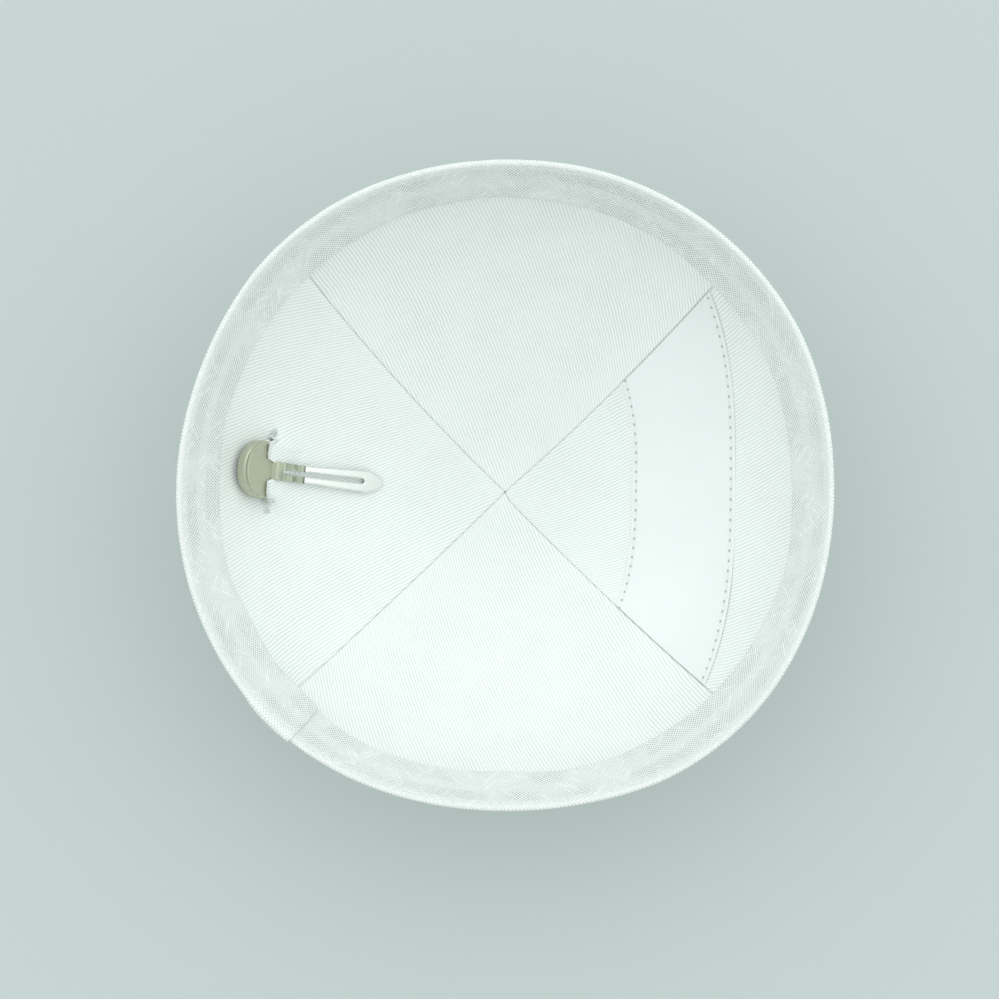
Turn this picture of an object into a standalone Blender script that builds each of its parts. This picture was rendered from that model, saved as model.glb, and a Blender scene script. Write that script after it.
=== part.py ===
"""Skullcap of four cloth gores, lined, bound at the rim, lying on its crown with its open side up.

The cap's wall is one surface of revolution whose slope grows from a flat crown patch to a steep rim.
Each cloth piece is a layer of that wall, set off from the lining's inner face by the cloth thickness
and a small clearance.  +X points from the clip to the label, +Z up, and the crown's patch is at Z = 0.
"""

import math

import bmesh
import bpy
from mathutils import Vector

MM = 0.001

# Cloth wall
RIM_RADIUS = 83.0 * MM          # lining face at the rim, mean of all directions
HOLLOW_DEPTH = 60.4 * MM        # lining face at the crown up to the panels' top edge
CLOTH_THICKNESS = 1.0 * MM
CLEARANCE = 0.3 * MM            # between cloth layers, and across each seam
CROWN_TIP_RADIUS = 0.6 * MM     # where the four panels meet

# Rim binding
BINDING_WIDTH = 13.8 * MM       # each leg, from the panels' top edge down
BINDING_THICKNESS = 1.0 * MM
LAP_AZIMUTH = 230.0             # degrees, cut end of the lapped binding
LAP_LENGTH = 11.0 * MM
LAP_RISE = 0.7 * MM
LAP_RUN_UP = 2.4 * MM           # over which the lap's start rises
LAP_CUT = 0.2 * MM              # over which its cut end drops

# Label ribbon
LABEL_INNER_EDGE = 42.0 * MM    # along the wall from the crown's centre, in the panel's middle
LABEL_WIDTH = 33.3 * MM
LABEL_INNER_RISE = 9.4 * MM     # how much further out the inner edge lies at the seams
LABEL_OUTER_RISE = 17.4 * MM
LABEL_THICKNESS = 1.0 * MM

# Clip
BUTTON_RADIUS = 8.0 * MM
BUTTON_HEIGHT = 3.0 * MM
BUTTON_WALL = 0.6 * MM
BUTTON_SEAT = 0.7 * MM          # clear of the lining below its middle
BUTTON_TILT = 9.0               # degrees steeper than the wall, so that its lower half tucks in
BUTTON_FOOT = 1.6               # width of its rolled foot, in walls
BUTTON_TO_BINDING = 3.5 * MM
CLIP_AZIMUTH = 175.5            # degrees
CLIP_TURN = 0.8                 # degrees off the straight way to the crown
HEAD_RADIUS = 7.85 * MM
STRIP_THICKNESS = 0.5 * MM
NECK_RAMP = 0.9 * MM
STEM_LENGTH = 14.3 * MM
BLADE_LENGTH = 27.2 * MM
STEM_WIDTH = 5.0 * MM
BLADE_WIDTH = 6.6 * MM
SLOT_WIDTH = 1.6 * MM
SLOT_START = 6.3 * MM           # from the button's middle
SLOT_TO_TIP = 6.7 * MM
NOSE_LENGTH = 5.3 * MM          # from the blade's widest place to its tip
HEAD_TURNS = (12.0, 30.0, 50.0, 70.0, 86.0)     # degrees round the half-round head
NECK_FLARES = (1.7, 1.2, 1.04)  # widths of the neck's start, middle and end, in stem widths
BLADE_ROOT = 1.02               # width of the blade at the crease, in stem widths
SLOT_FREE = 0.4                 # width of the middle column where the strip has no slot, in slots
NOSE = (
    # share of the nose's length, width in blade widths, middle column in slots
    (0.5, 0.62, 0.4),
    (0.8, 0.3, 0.25),
    (1.0, 0.15, 0.1),
)
BEND_RANGE = (-20.0, 60.0)      # degrees, in which the blade's bend is sought
HALVINGS = 40                   # of a range, when a value is sought

# Slit in the left lining panel
SLIT_HALF_LENGTH = 12.0 * MM
FLAP_RUN_OUT = 10.0 * MM        # past the button, to where the lifted lining lies flat again
FLAP_SLACK = 0.1 * MM
FLAP_MARGIN = 0.5 * MM          # past the button's edge, before the lifted lining starts to fall
FLAP_ROWS = (0.0, 0.15, 0.3, 0.45, 0.6, 0.8, 1.0)
ROW_SPACING = 3.0 * MM          # kept between the flap's rows and the even ones
SLIT_SIDE_SHARE = 1.25          # even columns start this many half lengths away from the slit

# Slope of the wall, in degrees, at shares of its length from the crown's centre to the rim.
WALL_SLOPES = (
    # length share, slope
    (0.00, 0.0),
    (0.11, 0.0),
    (0.18, 18.0),
    (0.29, 26.0),
    (0.43, 34.0),
    (0.58, 41.5),
    (0.72, 50.0),
    (0.86, 61.0),
    (1.00, 65.0),
)

# Outline of the rim from above: a mild rounded square, fuller at the front right.
RIM_OUTLINE = (
    # azimuth in degrees, share of the rim radius
    (0.0, 0.996),
    (22.5, 1.005),
    (45.0, 1.007),
    (67.5, 0.998),
    (90.0, 0.986),
    (112.5, 0.992),
    (135.0, 0.997),
    (157.5, 0.987),
    (180.0, 0.992),
    (202.5, 1.003),
    (225.0, 1.010),
    (247.5, 0.996),
    (270.0, 0.984),
    (292.5, 1.002),
    (315.0, 1.020),
    (337.5, 1.009),
)
OUTLINE_FADE = 4                # power by which the outline fades towards the round crown
SEAM_RIDGE_SHARE = 0.014        # of the radius, halfway up, where the gores meet in a ridge

# The four gores, by the side of the hollow that they line.
GORES = (
    # name, azimuth of its first seam, azimuth of its last seam
    ("right", -43.9, 45.1),
    ("back", 45.1, 131.0),
    ("left", 131.0, 223.7),
    ("front", 223.7, 316.1),
)

# Mesh fineness
GORE_COLUMNS = 13
GORE_ROWS = 13
PROFILE_SAMPLES = 400
FOLD_STEPS = 5
LABEL_ROWS = 5
BUTTON_SIDES = 32
FRAME_STEP = 0.2 * MM           # along the wall, for its tangent
FRAME_TURN = 0.2                # degrees round it
NEAR_STATION = 1.0              # degrees, between the lap's stations and the even ones
JOINED = 0.01 * MM              # points closer than this are one
SHARP_ANGLE = 40.0              # degrees between faces that meet in a sharp edge

OUTER_CLOTH_START = CLOTH_THICKNESS + CLEARANCE
WALL_THICKNESS = OUTER_CLOTH_START + CLOTH_THICKNESS
FLOOR_TO_LINING = WALL_THICKNESS


def smooth_step(value, low, high):
    share = min(max((value - low) / (high - low), 0.0), 1.0)
    return share * share * (3.0 - 2.0 * share)


def table_value(table, key):
    """Straight-line value of a two-column table."""
    for (low, low_value), (high, high_value) in zip(table, table[1:]):
        if key <= high:
            return low_value + (high_value - low_value) * (key - low) / (high - low)
    return table[-1][1]


def wall_profile():
    """Rows of (length, radius, height) of the lining face, from the crown's centre to the rim."""
    radius = height = 0.0
    walk = [(0.0, 0.0)]
    for index in range(PROFILE_SAMPLES):
        slope = math.radians(table_value(WALL_SLOPES, (index + 0.5) / PROFILE_SAMPLES))
        radius += math.cos(slope)
        height += math.sin(slope)
        walk.append((radius, height))
    length = 0.0
    rows = [(0.0, 0.0, 0.0)]
    for step_radius, step_height in walk[1:]:
        point = (step_radius / radius * RIM_RADIUS, step_height / height * HOLLOW_DEPTH)
        length += math.hypot(point[0] - rows[-1][1], point[1] - rows[-1][2])
        rows.append((length, *point))
    return rows


PROFILE = wall_profile()
WALL_LENGTH = PROFILE[-1][0]
CLIP_ALONG = WALL_LENGTH - BINDING_WIDTH - BUTTON_TO_BINDING - BUTTON_RADIUS    # the button's middle


def profile_at(length):
    """Radius and height at a length along the wall, straight on past the rim."""
    index = min(max(int(length / WALL_LENGTH * PROFILE_SAMPLES), 0), PROFILE_SAMPLES - 1)
    while index > 0 and PROFILE[index][0] > length:
        index -= 1
    while index < PROFILE_SAMPLES - 1 and PROFILE[index + 1][0] < length:
        index += 1
    start, end = PROFILE[index], PROFILE[index + 1]
    share = (length - start[0]) / (end[0] - start[0])
    return start[1] + (end[1] - start[1]) * share, start[2] + (end[2] - start[2]) * share


def rim_share(azimuth):
    """Smooth curve through the outline's rows, round the whole rim."""
    count = len(RIM_OUTLINE)
    step = 360.0 / count
    place = (azimuth % 360.0) / step
    index = int(place) % count
    share = place - int(place)
    before, start, end, after = (RIM_OUTLINE[(index + shift) % count][1] for shift in (-1, 0, 1, 2))
    return 0.5 * (2.0 * start + (end - before) * share
                  + (2.0 * before - 5.0 * start + 4.0 * end - after) * share ** 2
                  + (3.0 * (start - end) + after - before) * share ** 3)


def gore_share(azimuth):
    """How far an azimuth lies from its gore's first seam to its last."""
    for _, first, last in GORES:
        turned = (azimuth - first) % 360.0
        if turned <= last - first:
            return turned / (last - first)
    return 0.0


def wall_point(length, azimuth):
    """Point of the lining's inner face."""
    radius, height = profile_at(length)
    rise = min(max(length / WALL_LENGTH, 0.0), 1.0)
    outline = rise ** OUTLINE_FADE * (rim_share(azimuth) - 1.0)
    ridge = SEAM_RIDGE_SHARE * 4.0 * rise * (1.0 - rise) * math.cos(2.0 * math.pi * gore_share(azimuth))
    radius *= 1.0 + outline + ridge
    angle = math.radians(azimuth)
    return Vector((radius * math.cos(angle), radius * math.sin(angle), height + FLOOR_TO_LINING))


def wall_frame(length, azimuth):
    """Outward normal and upward tangent of the wall."""
    upward = wall_point(length + FRAME_STEP, azimuth) - wall_point(length - FRAME_STEP, azimuth)
    around = wall_point(length, azimuth + FRAME_TURN) - wall_point(length, azimuth - FRAME_TURN)
    return around.cross(upward).normalized(), upward.normalized()


def layer_point(length, azimuth, offset):
    """Point set off outwards from the lining's inner face."""
    normal, _ = wall_frame(length, azimuth)
    return wall_point(length, azimuth) + normal * offset


def make_material(name, colour, roughness, metallic=0.0):
    material = bpy.data.materials.new(name)
    material.use_nodes = True
    shader = material.node_tree.nodes["Principled BSDF"]
    shader.inputs["Base Color"].default_value = (*colour, 1.0)
    shader.inputs["Roughness"].default_value = roughness
    shader.inputs["Metallic"].default_value = metallic
    return material


def add_object(name, mesh_builder, material):
    """Object from a finished bmesh, with its faces turned out."""
    bmesh.ops.recalc_face_normals(mesh_builder, faces=mesh_builder.faces)
    mesh = bpy.data.meshes.new(name)
    mesh_builder.to_mesh(mesh)
    mesh_builder.free()
    mesh.materials.append(material)
    mesh.shade_smooth()
    mesh.set_sharp_from_angle(angle=math.radians(SHARP_ANGLE))
    thing = bpy.data.objects.new(name, mesh)
    bpy.context.scene.collection.objects.link(thing)
    return thing


def add_sheet(name, near_points, far_points, faces, material):
    """Closed sheet: faces on the near points, thickened to the far points."""
    builder = bmesh.new()
    mark = builder.verts.layers.int.new("station")
    vertices = []
    for index, point in enumerate(near_points):
        vertex = builder.verts.new(point)
        vertex[mark] = index
        vertices.append(vertex)
    sheet = [builder.faces.new([vertices[index] for index in face]) for face in faces]
    grown = bmesh.ops.extrude_face_region(builder, geom=sheet, use_keep_orig=True)
    for element in grown["geom"]:
        if isinstance(element, bmesh.types.BMVert):
            element.co = far_points[element[mark]]
    return add_object(name, builder, material)


def grid_faces(rows, columns):
    return [(row * columns + column, row * columns + column + 1,
             (row + 1) * columns + column + 1, (row + 1) * columns + column)
            for row in range(rows - 1) for column in range(columns - 1)]


def gore_lengths():
    reach = WALL_LENGTH - CROWN_TIP_RADIUS
    return [CROWN_TIP_RADIUS + reach * row / GORE_ROWS for row in range(GORE_ROWS + 1)]


def seam_inset(length):
    """Half a clearance, as an angle at this length along the wall."""
    radius, _ = profile_at(length)
    return math.degrees(0.5 * CLEARANCE / radius)


def gore_azimuth(length, first, last, share):
    inset = seam_inset(length)
    return first + inset + (last - first - 2.0 * inset) * share


def add_gore_layer(name, first, last, offset, material):
    """One gore of one cloth layer."""
    shares = [column / GORE_COLUMNS for column in range(GORE_COLUMNS + 1)]
    stations = [(length, gore_azimuth(length, first, last, share))
                for length in gore_lengths() for share in shares]
    near = [layer_point(length, azimuth, offset) for length, azimuth in stations]
    far = [layer_point(length, azimuth, offset + CLOTH_THICKNESS) for length, azimuth in stations]
    return add_sheet(name, near, far, grid_faces(GORE_ROWS + 1, GORE_COLUMNS + 1), material)


class ClipPlace:
    """The plane of the clip's button, tucked into the wall, and what lies over it."""

    def __init__(self):
        normal, upward = wall_frame(CLIP_ALONG, CLIP_AZIMUTH)
        across = upward.cross(normal).normalized()
        self.foot = wall_point(CLIP_ALONG, CLIP_AZIMUTH)
        self.wall_normal = -normal
        turn = math.radians(CLIP_TURN)
        tilt = math.radians(BUTTON_TILT)
        down = -upward * math.cos(turn) + across * math.sin(turn)
        self.down = down * math.cos(tilt) - self.wall_normal * math.sin(tilt)
        self.side = self.wall_normal.cross(down).normalized()
        self.normal = self.down.cross(self.side).normalized()
        self.base = self.foot + self.wall_normal * BUTTON_SEAT

    def point(self, down, side, height):
        return self.base + self.down * down + self.side * side + self.normal * height

    def plane_height(self, point, height):
        """How far above a wall point, along the wall's normal, a level over the button lies."""
        level = self.base + self.normal * height
        return (level - point).dot(self.normal) / self.wall_normal.dot(self.normal)


CLIP = ClipPlace()
HEAD_LEVEL = BUTTON_HEIGHT + CLEARANCE
FLAP_LEVEL = BUTTON_HEIGHT + CLEARANCE + CLOTH_THICKNESS + FLAP_SLACK
STEM_LEVEL = FLAP_LEVEL + CLEARANCE
SLIT_OPENING = NECK_RAMP + 2.0 * CLEARANCE + FLAP_LEVEL * math.tan(math.radians(BUTTON_TILT))
SLIT_ALONG = CLIP_ALONG - 0.5 * SLIT_OPENING
SLIT_LOWER_EDGE = SLIT_ALONG - 0.5 * SLIT_OPENING


def flap_lift(length, azimuth):
    """How far the slit lining is lifted off the wall, where it lies over the button."""
    clip_radius, _ = profile_at(CLIP_ALONG)
    aside = abs(math.radians(azimuth - CLIP_AZIMUTH)) * clip_radius
    past = CLIP_ALONG - length
    over = max(CLIP.plane_height(wall_point(length, azimuth), FLAP_LEVEL), 0.0)
    beside = 1.0 - smooth_step(aside, BUTTON_RADIUS + FLAP_MARGIN, SLIT_HALF_LENGTH)
    beyond = 1.0 - smooth_step(past, BUTTON_RADIUS + FLAP_MARGIN, BUTTON_RADIUS + FLAP_RUN_OUT)
    return over * beside * beyond


def slit_columns(first, last):
    """Shares across the slit gore: the even columns, with finer ones at the slit."""
    clip_radius, _ = profile_at(CLIP_ALONG)
    span = math.radians(last - first) * clip_radius
    middle = (CLIP_AZIMUTH - first) / (last - first)
    half = SLIT_HALF_LENGTH / span
    button = (BUTTON_RADIUS + FLAP_MARGIN) / span
    fine = [middle + side * reach for side in (-1.0, 1.0)
            for reach in (0.5 * button, button, 0.5 * (button + half), half)]
    even = [column / GORE_COLUMNS for column in range(GORE_COLUMNS + 1)]
    kept = [share for share in even if abs(share - middle) > half * SLIT_SIDE_SHARE]
    return sorted(kept + fine + [middle])


def slit_rows():
    """Lengths along the slit gore, with finer rows where the lining is lifted."""
    reach = BUTTON_RADIUS + FLAP_RUN_OUT
    fine = [SLIT_LOWER_EDGE - (reach - SLIT_OPENING) * share for share in FLAP_ROWS]
    fine.append(SLIT_LOWER_EDGE + SLIT_OPENING)
    low, high = min(fine) - ROW_SPACING, max(fine) + ROW_SPACING
    kept = [length for length in gore_lengths() if length < low or length > high]
    return sorted(kept + fine)


def add_slit_gore(name, first, last, material):
    """The lining gore that the clip's button is tucked into, cut along a short slit."""
    lengths = slit_rows()
    shares = slit_columns(first, last)
    stations = []
    for length in lengths:
        lifted = length <= SLIT_LOWER_EDGE + JOINED
        for share in shares:
            azimuth = gore_azimuth(length, first, last, share)
            stations.append((length, azimuth, flap_lift(length, azimuth) if lifted else 0.0))
    clip_radius, _ = profile_at(CLIP_ALONG)
    columns = len(shares)
    faces = []
    for face in grid_faces(len(lengths), columns):
        row = face[0] // columns
        in_slit_row = lengths[row] < SLIT_ALONG < lengths[row + 1]
        asides = [abs(math.radians(stations[index][1] - CLIP_AZIMUTH)) * clip_radius for index in face]
        if not (in_slit_row and max(asides) < SLIT_HALF_LENGTH + FLAP_MARGIN):
            faces.append(face)
    near = [layer_point(length, azimuth, -lift) for length, azimuth, lift in stations]
    far = [layer_point(length, azimuth, CLOTH_THICKNESS - lift) for length, azimuth, lift in stations]
    return add_sheet(name, near, far, faces, material)


def binding_section():
    """Closed section of the folded binding, as (length past the rim, offset) pairs."""
    middle = 0.5 * WALL_THICKNESS
    inner_fold = middle + CLEARANCE
    outer_fold = inner_fold + BINDING_THICKNESS
    leg = (-BINDING_WIDTH, -0.5 * BINDING_WIDTH)
    outline = [(past, middle - outer_fold) for past in leg]
    outline += [(outer_fold * math.sin(turn), middle - outer_fold * math.cos(turn))
                for turn in (math.pi * step / FOLD_STEPS for step in range(FOLD_STEPS + 1))]
    outline += [(past, middle + outer_fold) for past in reversed(leg)]
    outline += [(past, middle + inner_fold) for past in leg]
    outline += [(inner_fold * math.sin(turn), middle + inner_fold * math.cos(turn))
                for turn in (math.pi * step / FOLD_STEPS for step in range(FOLD_STEPS + 1))]
    outline += [(past, middle - inner_fold) for past in reversed(leg)]
    return outline


def lap_share(azimuth):
    """One where the binding's cut end lies over its start, and none elsewhere."""
    back = math.radians(LAP_AZIMUTH - azimuth) * RIM_RADIUS
    return 1.0 if 0.0 <= back <= LAP_LENGTH else 0.0


def binding_azimuths():
    """Stations round the rim in line with the gores' columns, with a step at the lap's two ends."""
    even = [first + (last - first) * column / GORE_COLUMNS
            for _, first, last in GORES for column in range(GORE_COLUMNS)]
    lap_start = LAP_AZIMUTH - math.degrees(LAP_LENGTH / RIM_RADIUS)
    steps = [lap_start - math.degrees(LAP_RUN_UP / RIM_RADIUS), lap_start,
             LAP_AZIMUTH, LAP_AZIMUTH + math.degrees(LAP_CUT / RIM_RADIUS)]
    kept = [azimuth for azimuth in even if all(abs(azimuth - step) > NEAR_STATION for step in steps)]
    return sorted(kept + steps)


def add_binding(material):
    """Bias strip folded over the panels' top edge, with its end lapped over its start."""
    builder = bmesh.new()
    section = binding_section()
    middle = 0.5 * WALL_THICKNESS
    outside = len(section) // 2
    rings = []
    for azimuth in binding_azimuths():
        normal, upward = wall_frame(WALL_LENGTH, azimuth)
        ring = []
        for index, (past, offset) in enumerate(section):
            extra = LAP_RISE * lap_share(azimuth) if index < outside else 0.0
            if past <= 0.0:
                raised = offset + math.copysign(extra, offset - middle)
                point = layer_point(WALL_LENGTH + past, azimuth, raised)
            else:
                away = Vector((past, offset - middle)).normalized() * extra
                point = wall_point(WALL_LENGTH, azimuth)
                point += upward * (past + away.x) + normal * (offset + away.y)
            ring.append(builder.verts.new(point))
        rings.append(ring)
    for ring, following in zip(rings, rings[1:] + rings[:1]):
        for index in range(len(section)):
            after = (index + 1) % len(section)
            builder.faces.new((ring[index], ring[after], following[after], following[index]))
    return add_object("rim_binding", builder, material)


def add_label(material):
    """Ribbon laid across the right gore, from seam to seam."""
    _, first, last = GORES[0]
    stations = []
    for row in range(LABEL_ROWS + 1):
        share = row / LABEL_ROWS
        for column in range(GORE_COLUMNS + 1):
            reach = (2.0 * column / GORE_COLUMNS - 1.0) ** 2
            inner = LABEL_INNER_EDGE + LABEL_INNER_RISE * reach
            outer = LABEL_INNER_EDGE + LABEL_WIDTH + LABEL_OUTER_RISE * reach
            length = inner + (outer - inner) * share
            stations.append((length, gore_azimuth(length, first, last, column / GORE_COLUMNS)))
    near = [layer_point(length, azimuth, -CLEARANCE) for length, azimuth in stations]
    far = [layer_point(length, azimuth, -CLEARANCE - LABEL_THICKNESS) for length, azimuth in stations]
    return add_sheet("label_ribbon", near, far, grid_faces(LABEL_ROWS + 1, GORE_COLUMNS + 1), material)


def add_button(material):
    """Pressed cup with a rolled foot and a stepped shoulder, open towards the cloth."""
    outer, top, wall = BUTTON_RADIUS, BUTTON_HEIGHT, BUTTON_WALL
    step = 0.5 * wall
    section = (
        (0.0, top), (outer - 2.0 * step, top), (outer - step, top - 0.5 * step), (outer - step, top - step),
        (outer, top - 2.0 * step), (outer, step), (outer - step, 0.0), (outer - BUTTON_FOOT * wall, 0.0),
        (outer - BUTTON_FOOT * wall, step), (outer - wall - step, wall),
        (outer - wall - step, top - wall - step), (outer - wall - 2.0 * step, top - wall), (0.0, top - wall),
    )
    builder = bmesh.new()
    outline = [builder.verts.new((radius, 0.0, height)) for radius, height in section]
    edges = [builder.edges.new(pair) for pair in zip(outline, outline[1:])]
    bmesh.ops.spin(builder, geom=outline + edges, axis=(0.0, 0.0, 1.0), cent=(0.0, 0.0, 0.0),
                   angle=2.0 * math.pi, steps=BUTTON_SIDES, use_merge=True)
    bmesh.ops.remove_doubles(builder, verts=builder.verts, dist=JOINED)
    for vertex in builder.verts:
        vertex.co = CLIP.point(vertex.co.x, vertex.co.y, vertex.co.z)
    return add_object("clip_button", builder, material)


def tip_clearance(bend):
    """Gap between the blade's tip and the lining when the blade is bent up by an angle."""
    ramp_end = NECK_RAMP + STEM_LENGTH
    tip = CLIP.point(ramp_end + BLADE_LENGTH * math.cos(bend), 0.0,
                     STEM_LEVEL + BLADE_LENGTH * math.sin(bend))
    azimuth = math.degrees(math.atan2(tip.y, tip.x))
    low, high = 0.0, WALL_LENGTH
    for _ in range(HALVINGS):
        length = 0.5 * (low + high)
        _, upward = wall_frame(length, azimuth)
        if (tip - wall_point(length, azimuth)).dot(upward) > 0.0:
            low = length
        else:
            high = length
    normal, _ = wall_frame(length, azimuth)
    return -(tip - wall_point(length, azimuth)).dot(normal)


def blade_bend():
    """Angle at the crease that brings the tip down to the lining."""
    low, high = (math.radians(end) for end in BEND_RANGE)
    for _ in range(HALVINGS):
        bend = 0.5 * (low + high)
        if tip_clearance(bend) > CLEARANCE:
            high = bend
        else:
            low = bend
    return bend


def offset_path(path, distance):
    """Path set off to its upper side, mitred at the bends."""
    directions = [(end - start).normalized() for start, end in zip(path, path[1:])]
    moved = []
    for index, point in enumerate(path):
        before = directions[max(index - 1, 0)]
        after = directions[min(index, len(directions) - 1)]
        mitre = (Vector((-before.y, before.x)) + Vector((-after.y, after.x))).normalized()
        moved.append(point + mitre * (distance / mitre.dot(Vector((-after.y, after.x)))))
    return moved


def strip_stations():
    """Rows of (path segment, share of the segment, half width, half slot) along the clip's strip."""
    head, neck, stem, blade = range(4)
    narrow = 0.5 * STEM_WIDTH
    broad = 0.5 * BLADE_WIDTH
    slot = 0.5 * SLOT_WIDTH
    closed = SLOT_FREE * slot
    slot_start = (SLOT_START - NECK_RAMP) / STEM_LENGTH
    slot_end = 1.0 - SLOT_TO_TIP / BLADE_LENGTH
    round_stem = slot / STEM_LENGTH
    round_blade = slot / BLADE_LENGTH
    shoulder = 1.0 - NOSE_LENGTH / BLADE_LENGTH
    root = BLADE_ROOT * narrow
    neck_start, neck_middle, neck_end = (flare * narrow for flare in NECK_FLARES)
    rows = [(head, 1.0 - math.cos(math.radians(turn)), HEAD_RADIUS * math.sin(math.radians(turn)), closed)
            for turn in HEAD_TURNS]
    rows += [
        (neck, 0.0, neck_start, closed),
        (neck, 0.5, neck_middle, closed),
        (stem, 0.0, neck_end, closed),
        (stem, 0.5 * slot_start, narrow, closed),
        (stem, slot_start, narrow, closed),
        (stem, slot_start + round_stem, narrow, slot),
        (blade, 0.0, root, slot),
        (blade, 0.5 * slot_end, 0.5 * (root + broad), slot),
        (blade, slot_end - round_blade, broad, slot),
        (blade, slot_end, broad, closed),
        (blade, shoulder, broad, closed),
    ]
    rows += [(blade, shoulder + (1.0 - shoulder) * share, width * broad, middle * slot)
             for share, width, middle in NOSE]
    slotted = [index for index, row in enumerate(rows) if row[0] >= stem and row[3] == slot]
    return rows, min(slotted) - 1, max(slotted) + 1


def add_strip(material):
    """Stamped strip: half-round head on the button, neck over the slit, stem, crease and slotted blade."""
    bend = blade_bend()
    crease = NECK_RAMP + STEM_LENGTH
    path = [Vector(pair) for pair in (
        (-HEAD_RADIUS, HEAD_LEVEL), (0.0, HEAD_LEVEL), (NECK_RAMP, STEM_LEVEL), (crease, STEM_LEVEL),
        (crease + BLADE_LENGTH * math.cos(bend), STEM_LEVEL + BLADE_LENGTH * math.sin(bend)))]
    raised = offset_path(path, STRIP_THICKNESS)
    rows, slot_first, slot_last = strip_stations()
    near, far = [], []
    for segment, share, half_width, half_slot in rows:
        low = path[segment].lerp(path[segment + 1], share)
        high = raised[segment].lerp(raised[segment + 1], share)
        for side in (-half_width, -half_slot, half_slot, half_width):
            near.append(CLIP.point(low.x, side, low.y))
            far.append(CLIP.point(high.x, side, high.y))
    faces = [face for face in grid_faces(len(rows), 4)
             if not (face[0] % 4 == 1 and slot_first <= face[0] // 4 < slot_last)]
    return add_sheet("clip_strip", near, far, faces, material)


def build():
    for thing in list(bpy.data.objects):
        bpy.data.objects.remove(thing, do_unlink=True)
    linen = make_material("linen", (0.78, 0.80, 0.77), 0.9)
    twill = make_material("lining twill", (0.84, 0.87, 0.85), 0.8)
    satin = make_material("satin ribbon", (0.86, 0.89, 0.91), 0.4)
    nickel = make_material("nickel", (0.62, 0.62, 0.52), 0.35, 1.0)
    steel = make_material("spring steel", (0.80, 0.81, 0.79), 0.2, 1.0)
    for name, first, last in GORES:
        add_gore_layer("outer_panel_" + name, first, last, OUTER_CLOTH_START, linen)
        if name == "left":
            add_slit_gore("lining_panel_" + name, first, last, twill)
        else:
            add_gore_layer("lining_panel_" + name, first, last, 0.0, twill)
    add_binding(linen)
    add_label(satin)
    add_button(nickel)
    add_strip(steel)


build()
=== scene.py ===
"""Looks of the skullcap: thin cloth, bound rim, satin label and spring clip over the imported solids.

Lengths are in metres.  The wall's formula and its sizes repeat the part's own, so each piece of cloth
lies on its solid.  +X points from the clip to the label, +Y to the back, +Z up.
"""

import random
from math import copysign, cos, degrees, exp, hypot, pi, radians, sin, sqrt

import bmesh
import bpy
from mathutils import Matrix, Vector, noise


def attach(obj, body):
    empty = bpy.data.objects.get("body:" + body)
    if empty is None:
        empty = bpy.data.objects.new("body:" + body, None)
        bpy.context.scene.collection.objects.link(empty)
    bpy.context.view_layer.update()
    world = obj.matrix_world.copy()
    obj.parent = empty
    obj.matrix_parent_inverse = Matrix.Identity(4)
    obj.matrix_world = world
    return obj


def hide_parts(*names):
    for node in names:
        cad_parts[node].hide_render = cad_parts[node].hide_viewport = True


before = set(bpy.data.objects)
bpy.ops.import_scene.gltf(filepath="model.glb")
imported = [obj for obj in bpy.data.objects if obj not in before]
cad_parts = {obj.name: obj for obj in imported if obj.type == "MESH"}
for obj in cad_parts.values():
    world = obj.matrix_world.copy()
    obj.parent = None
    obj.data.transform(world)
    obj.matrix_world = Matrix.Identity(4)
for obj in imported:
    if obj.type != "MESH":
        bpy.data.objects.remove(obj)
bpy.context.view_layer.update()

MM = 0.001

# Camera, from the photograph's frame
PHOTO_SIDE = 999.0
FOCAL_PIXELS = 1100.0
SENSOR = 36.0
CAMERA_TARGET = Vector((-1.73, -2.36, 2.3)) * MM  # floor of the hollow at the middle of the frame
CAMERA_ABOVE = Vector((3.0, -6.0, 343.6)) * MM  # from the target to the camera

# Wall, as in the part's source
RIM_RADIUS = 83.0 * MM
HOLLOW_DEPTH = 60.4 * MM
FLOOR_TO_LINING = 2.3 * MM
CROWN_TIP_RADIUS = 0.25 * MM
OUTLINE_FADE = 4
SEAM_RIDGE_SHARE = 0.014
WALL_SLOPES = (
    # length share, slope in degrees
    (0.00, 0.0),
    (0.11, 0.0),
    (0.18, 18.0),
    (0.29, 26.0),
    (0.43, 34.0),
    (0.58, 41.5),
    (0.72, 50.0),
    (0.86, 61.0),
    (1.00, 65.0),
)
RIM_OUTLINE = (0.996, 1.005, 1.007, 0.998, 0.986, 0.992, 0.997, 0.987,
               0.992, 1.003, 1.010, 0.996, 0.984, 1.002, 1.020, 1.009)
GORES = (
    # name, azimuth of its first seam, azimuth of its last seam
    ("right", -43.9, 45.1),
    ("back", 45.1, 131.0),
    ("left", 131.0, 223.7),
    ("front", 223.7, 316.1),
)
PROFILE_SAMPLES = 400

# Sewn seams, which sway a little between the rim and the crown
SEAMS = {
    # gores' shared azimuth: azimuth at the rim, turn towards the crown, sideways shift
    -43.9: (-43.6, -2.1, -1.0 * MM),
    45.1: (44.4, -3.2, 0.0),
    131.0: (132.2, 3.9, 0.0),
    223.7: (224.1, 0.4, 0.0),
    316.1: (316.4, -2.1, -1.0 * MM),
}
SEAM_SHIFT_RADIUS = 3.0 * MM  # the sideways shift fades inside this radius
GRAIN_TURNS = {"right": 2.0, "back": 1.5, "left": 5.0, "front": 2.5}  # degrees, of each gore's twill
GRAIN_BOW = 0.6  # 0 where the grain keeps straight, 1 where it bows with the wall

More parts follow.
